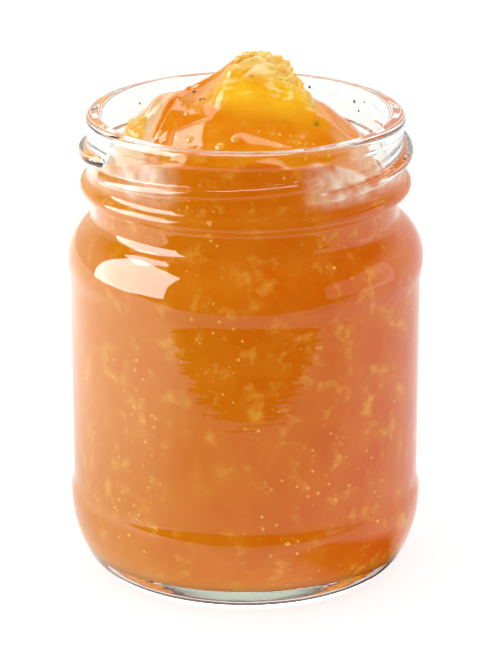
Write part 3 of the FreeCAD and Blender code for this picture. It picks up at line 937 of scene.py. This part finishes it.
def make_pulpy_gel():
    """Group: apricot gel between two colours, with pulp, pale flecks, golden fruit, a painted reflection on
    the heap's left side, and frost.
    """
    takes = {"Place": "NodeSocketVector", "Deep": "NodeSocketColor", "Light": "NodeSocketColor"}
    gives = {"Colour": "NodeSocketColor", "Cloud": "NodeSocketFloat"}
    tree, given, result = new_group("pulpy_gel", takes, gives)
    where = given.outputs["Place"]
    cloud = clouds(tree, where, 130.0, detail=4.0, grain=0.6, span=GEL_CLOUD_RANGE)
    base = blend(tree, cloud, given.outputs["Deep"], given.outputs["Light"])
    clouded = blend(tree, remap(tree, cloud, 0.0, 1.0, 0.0, GEL_CLOUD_MOST), base, GEL_CLOUDY)
    pulp = clouds(tree, where, 250.0, detail=4.0, grain=0.6, span=PULP_RANGE, most=PULP_MOST)
    pulpy = blend(tree, pulp, clouded, GEL_PULP)
    cells = tree.nodes.new("ShaderNodeTexVoronoi")
    cells.inputs["Scale"].default_value = FLECKS_IN_METRE
    tree.links.new(where, cells.inputs["Vector"])
    fleck = remap(tree, cells.outputs["Distance"], *FLECK_RANGE, 1.0, 0.0)
    patch = clouds(tree, where, 75.0, detail=3.0, span=FLECK_PATCHES)
    flecked = blend(tree, worked_out(tree, "MULTIPLY", fleck, patch), pulpy, GEL_FLECK)
    golden = blend(tree, attribute(tree, "golden"), flecked, GEL_GOLDEN)
    # painted reflection: the pale band where the window shines on the heap's left side
    reflected = blend(tree, attribute(tree, "film"), golden, GEL_PAINTED_REFLECTION)
    frosted = blend(tree, attribute(tree, "frost"), reflected, GEL_FROST)
    tree.links.new(frosted, result.inputs["Colour"])
    tree.links.new(cloud, result.inputs["Cloud"])


# ---------------------------------------------------------------- finishes

GLASS_WAVES_DRAWN_OUT = 9.0
GLASS_IOR = 1.5
STIPPLED = 0.7
GEL_IOR = 1.38
GEL_SOAK = (1.0, 0.4, 0.1)
GEL_RELIEF = {"lumps": 450.0, "depth": 0.08}
FRUIT_SOAK = (1.0, 0.6, 0.2)


def clear_glass():
    """Clear jar glass with a faint green cast, the slow waves of a blown wall and a stippled underside.

    Shadow and diffuse rays pass straight through it.
    """
    finish, tree, skin = new_finish("clear_glass")
    where = place_reader(tree)
    cast = clouds(tree, where, 30.0)
    tree.links.new(blend(tree, cast, (0.97, 0.99, 0.97), (0.94, 0.975, 0.945)), skin.inputs["Base Color"])
    smooth = remap(tree, cast, 0.0, 1.0, 0.0, 0.02)
    stippled = remap(tree, attribute(tree, "stipple"), 0.0, 1.0, 0.0, STIPPLED)
    tree.links.new(worked_out(tree, "MAXIMUM", smooth, stippled), skin.inputs["Roughness"])
    skin.inputs["Transmission Weight"].default_value = 1.0
    skin.inputs["IOR"].default_value = GLASS_IOR
    stretch = tree.nodes.new("ShaderNodeMapping")
    stretch.inputs["Scale"].default_value = (1.0, 1.0, GLASS_WAVES_DRAWN_OUT)
    tree.links.new(where, stretch.inputs["Vector"])
    fine_relief(tree, skin, stretch.outputs["Vector"], lumps=70.0, depth=0.03)
    clear = tree.nodes.new("ShaderNodeBsdfTransparent")
    rays = tree.nodes.new("ShaderNodeLightPath")
    surface = skin.outputs["BSDF"]
    for kind in ("Is Shadow Ray", "Is Diffuse Ray"):
        either = tree.nodes.new("ShaderNodeMixShader")
        tree.links.new(rays.outputs[kind], either.inputs[0])
        tree.links.new(surface, either.inputs[1])
        tree.links.new(clear.outputs["BSDF"], either.inputs[2])
        surface = either.outputs["Shader"]
    tree.links.new(surface, tree.nodes["Material Output"].inputs["Surface"])
    return finish


def gel_on_top():
    """Clear wet gel of the heap."""
    finish, tree, skin = new_finish("gel_on_top")
    where = place_reader(tree)
    gel = placed(tree, "pulpy_gel", where, Deep=(0.76, 0.215, 0.003), Light=(0.80, 0.29, 0.004))
    tree.links.new(gel["Colour"], skin.inputs["Base Color"])
    tree.links.new(remap(tree, gel["Cloud"], 0.0, 1.0, 0.02, 0.05), skin.inputs["Roughness"])
    skin.inputs["IOR"].default_value = GEL_IOR
    soak(skin, 0.6, GEL_SOAK)
    fine_relief(tree, skin, where, **GEL_RELIEF)
    return finish


def gel_in_glass():
    """Cloudy jam that lies against the glass, with painted light: lighter and yellower at the left, as lit
    from that side, and redder to the right, with no shine of its own.
    """
    finish, tree, skin = new_finish("gel_in_glass")
    where = place_reader(tree)
    # painted light: lighter and yellower at the left, where light falls, shading to redder at the right
    across = remap(tree, parts_of(tree, where)["X"], -34.0 * MM, 34.0 * MM)
    base = blend(tree, across, (0.69, 0.235, 0.003), (0.655, 0.097, 0.002))
    gel = placed(tree, "pulpy_gel", where, Deep=base, Light=base)
    tree.links.new(gel["Colour"], skin.inputs["Base Color"])
    tree.links.new(remap(tree, gel["Cloud"], 0.0, 1.0, 0.5, 0.6), skin.inputs["Roughness"])
    skin.inputs["IOR"].default_value = GEL_IOR
    skin.inputs["Specular IOR Level"].default_value = 0.0
    soak(skin, 1.2, GEL_SOAK)
    fine_relief(tree, skin, where, **GEL_RELIEF)
    return finish


def apricot_flesh():
    """Golden cooked apricot, paler where it is torn and redder where it lies under the gel."""
    finish, tree, skin = new_finish("apricot_flesh")
    where = place_reader(tree)
    cloud = clouds(tree, where, 160.0, detail=3.0, grain=0.55)
    golden = blend(tree, cloud, (0.86, 0.40, 0.008), (0.93, 0.56, 0.025))
    torn = blend(tree, attribute(tree, "torn"), golden, (0.86, 0.60, 0.20))
    sunk = blend(tree, attribute(tree, "sunk"), torn, (0.80, 0.26, 0.006))
    tree.links.new(sunk, skin.inputs["Base Color"])
    tree.links.new(remap(tree, cloud, 0.0, 1.0, 0.03, 0.08), skin.inputs["Roughness"])
    skin.inputs["IOR"].default_value = 1.4
    soak(skin, 0.25, FRUIT_SOAK)
    fine_relief(tree, skin, where, lumps=500.0, depth=0.08)
    return finish


def bubble_gel():
    """Paler, very wet gel of the bubbles and droplets."""
    finish, tree, skin = new_finish("bubble_gel")
    tint = clouds(tree, place_reader(tree), 300.0)
    tree.links.new(blend(tree, tint, (0.80, 0.28, 0.01), (0.86, 0.42, 0.05)), skin.inputs["Base Color"])
    tree.links.new(remap(tree, tint, 0.0, 1.0, 0.0, 0.03), skin.inputs["Roughness"])
    skin.inputs["IOR"].default_value = 1.45
    soak(skin, 0.6, FRUIT_SOAK)
    return finish


def dark_speck():
    """Brown flecks of skin and stone."""
    finish, tree, skin = new_finish("dark_speck")
    tint = clouds(tree, place_reader(tree), 900.0)
    tree.links.new(blend(tree, tint, (0.05, 0.012, 0.004), (0.20, 0.06, 0.015)), skin.inputs["Base Color"])
    tree.links.new(remap(tree, tint, 0.0, 1.0, 0.25, 0.45), skin.inputs["Roughness"])
    return finish


# ---------------------------------------------------------------- studio

# the table: its sheet, its glow of painted light, and how both change: painted dark in front, brighter by the
# window and under the jar, and a painted shadow of the jar beside it
SHEET_TONES = (grey(0.36), grey(0.35))
SHEET_PAINTED_DARK_IN_FRONT = grey(0.22)
GLOW = grey(0.70)
GLOW_PAINTED_DARK_IN_FRONT = grey(0.45)
GLOW_AT_WINDOW = grey(1.34)
GLOW_UNDER_JAR = (12.0, 14.0, 11.6)
PAINTED_JAR_SHADOW = grey(0.02)
FRONT_EDGE = (-95.0, -60.0)
WINDOW_EDGE = (-60.0, -120.0)
FOOT_EDGE = (27.0, 29.0)
SHADE_ACROSS = {"rise": (16.0, 26.0), "fall": (44.0, 54.0)}
SHADE_ALONG = {"rise": (-60.0, -48.0), "fall": (-12.0, -2.0)}
TABLE_PLACE = (0.0, 0.862, -0.0005)
TABLE_SIZE = (4.0, 2.0, 1.0)

# the surroundings, and where their reflections turn from front to back and from wall to ceiling
DARK = grey(0.0)
WHITE = grey(1.0)
EVEN_LIGHT = grey(0.95)
BACK_EDGE = (-0.05, 0.3)
CEILING_EDGE = (0.35, 0.6)


def painted_dark_front(tree, along, rays):
    """1 on the table's front edge, painted dark, and 0 further back; the camera doesn't see it so."""
    front = remap(tree, along, FRONT_EDGE[0] * MM, FRONT_EDGE[1] * MM, 1.0, 0.0)
    unseen = worked_out(tree, "SUBTRACT", front, rays["Is Camera Ray"])
    unseen.node.use_clamp = True
    return unseen


def table_under_jar(tree, where):
    """1 under the jar's foot, 0 beside it."""
    away = tree.nodes.new("ShaderNodeVectorMath")
    away.operation = "LENGTH"
    tree.links.new(where, away.inputs[0])
    return remap(tree, away.outputs["Value"], FOOT_EDGE[0] * MM, FOOT_EDGE[1] * MM, 1.0, 0.0)


def pale_table():
    """The pale matt sheet that the jar stands on.

    It glows with painted light, a little all over, more towards the window and under the jar; every ray but
    the camera's sees painted darkness at its front edge, and reflections see a painted shadow of the jar at
    its right.
    """
    finish, tree, skin = new_finish("pale_table")
    where = place_reader(tree)
    side = parts_of(tree, where)
    rays = tree.nodes.new("ShaderNodeLightPath").outputs
    front = painted_dark_front(tree, side["Y"], rays)
    sheet = blend(tree, clouds(tree, where, 12.0, detail=3.0), *SHEET_TONES)
    # painted darkness on the table's front edge, seen by every ray but the camera's
    near = blend(tree, front, sheet, SHEET_PAINTED_DARK_IN_FRONT)
    glow = blend(tree, front, GLOW, GLOW_PAINTED_DARK_IN_FRONT)
    # painted light: a brighter pool of glow on the table towards the window
    window = remap(tree, side["X"], WINDOW_EDGE[0] * MM, WINDOW_EDGE[1] * MM)
    lit = blend(tree, window, glow, GLOW_AT_WINDOW)
    # painted light: a strong glow under the jar's foot, which diffuse rays don't see
    foot = blend(tree, rays["Is Diffuse Ray"], GLOW_UNDER_JAR, DARK)
    below = blend(tree, table_under_jar(tree, where), lit, foot)
    # painted shadow of the jar on the table at its right, seen only in reflections
    across = band(tree, side["X"], **SHADE_ACROSS)
    ahead = worked_out(tree, "MULTIPLY", across, band(tree, side["Y"], **SHADE_ALONG))
    shade = worked_out(tree, "MULTIPLY", ahead, rays["Is Glossy Ray"])
    tree.links.new(blend(tree, shade, near, PAINTED_JAR_SHADOW), skin.inputs["Base Color"])
    tree.links.new(blend(tree, shade, below, PAINTED_JAR_SHADOW), skin.inputs["Emission Color"])
    skin.inputs["Emission Strength"].default_value = 1.0
    skin.inputs["Roughness"].default_value = 0.7
    skin.inputs["Specular IOR Level"].default_value = 0.1
    finish.cycles.emission_sampling = "NONE"
    return finish


def make_table():
    """A pale sheet under the jar that runs from a hand's breadth in front of it far to the back."""
    start_clean()
    bpy.ops.mesh.primitive_plane_add(size=1.0, location=TABLE_PLACE)
    table = bpy.context.object
    table.name = "table"
    table.scale = TABLE_SIZE
    settle(table)
    table.data.materials.append(pale_table())


def make_surroundings():
    """White to the camera and even to matt skins; in reflections, dark in front and high up."""
    world = bpy.data.worlds.new("studio")
    bpy.context.scene.world = world
    world.use_nodes = True
    tree = world.node_tree
    tree.nodes.clear()
    out = tree.nodes.new("ShaderNodeOutputWorld")
    glow = tree.nodes.new("ShaderNodeBackground")
    tree.links.new(glow.outputs["Background"], out.inputs["Surface"])
    toward = parts_of(tree, tree.nodes.new("ShaderNodeTexCoord").outputs["Generated"])
    backdrop = blend(tree, remap(tree, toward["Y"], *BACK_EDGE), DARK, WHITE)
    mirrored = blend(tree, remap(tree, toward["Z"], *CEILING_EDGE), backdrop, DARK)
    rays = tree.nodes.new("ShaderNodeLightPath").outputs
    room = blend(tree, rays["Is Glossy Ray"], EVEN_LIGHT, mirrored)
    seen = blend(tree, rays["Is Camera Ray"], room, WHITE)
    tree.links.new(seen, glow.inputs["Color"])


def make_lamp(name, place, aim, size, radiance, shines=True, lights=True):
    """A soft rectangular lamp that points at the jar and is not itself seen; size is its width and height."""
    lamp = bpy.data.lights.new(name, "AREA")
    lamp.shape = "RECTANGLE"
    lamp.size = size[0]
    lamp.size_y = size[1]
    lamp.energy = radiance * math.pi * size[0] * size[1]
    holder = bpy.data.objects.new(name, lamp)
    bpy.context.scene.collection.objects.link(holder)
    holder.location = place
    holder.rotation_euler = (Vector(aim) - Vector(place)).to_track_quat("-Z", "Y").to_euler()
    holder.visible_camera = False
    holder.visible_diffuse = lights
    holder.visible_glossy = shines
    holder.visible_transmission = False
    return holder


def only_on(lamp, piece):
    """Keeps a lamp's shine to one piece."""
    group = bpy.data.collections.new(f"{lamp.name}_shines_on")
    group.objects.link(piece)
    lamp.light_linking.receiver_collection = group


# place, aim, size and strength of each lamp that only shines in the glass and the gel, in metres
SHINING_LAMPS = {
    "window_left": ((-0.35, -0.097, 0.255), (0.0, -0.097, 0.255), (0.394, 0.47), 11.0),
    "window_right": ((0.40, -0.115, 0.13), (0.0, -0.115, 0.13), (0.44, 0.25), 0.8),
    "window_high": ((-0.317, 0.07, 0.473), (-0.01, -0.02, 0.088), (0.17, 0.17), 9.0),
    "box_behind": ((0.0, 0.45, 0.75), (0.0, 0.0, 0.08), (0.9, 0.5), 3.5),
    "strip_over_glass": ((0.0, 0.03, 0.85), (0.0, -0.03, 0.085), (0.46, 0.13), 16.0),
}
# the one lamp that only lights
BOX_ABOVE = ((-0.2, -0.1, 0.85), (0.0, 0.0, 0.08), (0.6, 0.6), 1.4)


def make_lights(glass):
    """A wide window at the left with a small high one, a weak one at the right, a box behind and one above.

    A strip shines in the glass alone.
    """
    shining = {name: make_lamp(name, *lamp, lights=False) for name, lamp in SHINING_LAMPS.items()}
    only_on(shining["strip_over_glass"], glass)
    make_lamp("box_above", *BOX_ABOVE, shines=False)


CAMERA_PLACE = (-0.28, -598.386, 256.946)
CAMERA_DOWN = 0.336
CAMERA_LENS = 176.93
CAMERA_SENSOR = 36.0
CAMERA_CLIP = (0.02, 20.0)


def make_camera():
    """The camera a little above the lip, looking slightly down."""
    camera = bpy.data.objects.new("camera", bpy.data.cameras.new("camera"))
    bpy.context.scene.collection.objects.link(camera)
    camera.data.lens = CAMERA_LENS
    camera.data.sensor_width = CAMERA_SENSOR
    camera.data.clip_start = CAMERA_CLIP[0]
    camera.data.clip_end = CAMERA_CLIP[1]
    camera.location = [c * MM for c in CAMERA_PLACE]
    camera.rotation_euler = (math.pi / 2 - CAMERA_DOWN, 0.0, 0.0)
    bpy.context.scene.camera = camera


def set_render():
    """Plain colours, and no light cast through the glass by bent rays."""
    scene = bpy.context.scene
    scene.view_settings.view_transform = "Standard"
    scene.cycles.caustics_refractive = False
    scene.cycles.caustics_reflective = False


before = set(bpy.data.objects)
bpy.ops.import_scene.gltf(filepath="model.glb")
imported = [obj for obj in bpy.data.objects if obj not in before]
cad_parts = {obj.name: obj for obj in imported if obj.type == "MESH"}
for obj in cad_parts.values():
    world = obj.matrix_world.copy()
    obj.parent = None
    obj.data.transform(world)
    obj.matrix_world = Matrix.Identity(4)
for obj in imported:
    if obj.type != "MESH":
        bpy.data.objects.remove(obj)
cad_box = [corner.copy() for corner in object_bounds()]
make_soft_clouds()
make_fine_relief()
make_pulpy_gel()
glass = make_glass()
make_jam()
make_top_fruit(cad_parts["apricot_piece"])
make_torn_edge()
make_side_fruit(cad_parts["apricot_piece_left"])
make_bubbles()
make_specks()
make_table()
make_surroundings()
make_lights(glass)
make_camera()
set_render()
